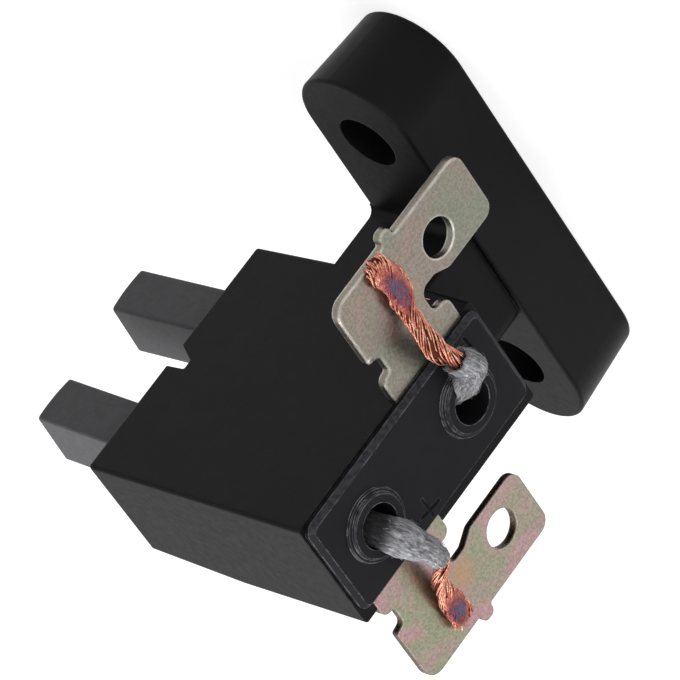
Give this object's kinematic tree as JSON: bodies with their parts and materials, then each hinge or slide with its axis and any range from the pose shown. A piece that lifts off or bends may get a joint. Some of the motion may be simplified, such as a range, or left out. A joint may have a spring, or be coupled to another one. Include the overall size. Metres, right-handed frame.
{
  "type": "carbon brush holder",
  "caption": "Moulded generator brush holder: spring-loaded carbon brushes slide in guides above a screw-down foot, each with a copper pigtail to a stamped terminal.",
  "frame": {"origin": "half way between the two mounting holes, on the mounting face of the foot", "axes": "+Z away from the mounting face, +Y along the foot, the brushes point to -X"},
  "size_m": [0.045, 0.0428, 0.0391],
  "materials": {
    "housing": "satin",
    "cover": "satin",
    "carbon": "matte",
    "spring_steel": "satin",
    "plated_steel": "satin",
    "copper": "satin",
    "sleeve_fabric": "matte"
  },
  "bodies": {
    "holder": {"housing": "housing", "rear_cover": "cover", "spring_positive": "spring_steel", "terminal_positive": "plated_steel", "pigtail_positive": "copper", "sleeve_positive": "sleeve_fabric", "spring_negative": "spring_steel", "terminal_negative": "plated_steel", "pigtail_negative": "copper", "sleeve_negative": "sleeve_fabric"},
    "brush_positive": {"brush_positive": "carbon"},
    "brush_negative": {"brush_negative": "carbon"}
  },
  "joints": [
    {"name": "brush_positive_slide", "type": "slide", "parent": "holder", "child": "brush_positive", "axis": [0.9993, 0, 0.0366], "range_m": [0, 0.01], "stiffness_N_per_m": 150, "springref_m": -0.012, "deforming": ["spring_positive", "pigtail_positive"]},
    {"name": "brush_negative_slide", "type": "slide", "parent": "holder", "child": "brush_negative", "axis": [1, 0, 0], "range_m": [0, 0.01], "stiffness_N_per_m": 150, "springref_m": -0.012, "deforming": ["spring_negative", "pigtail_negative"]}
  ]
}
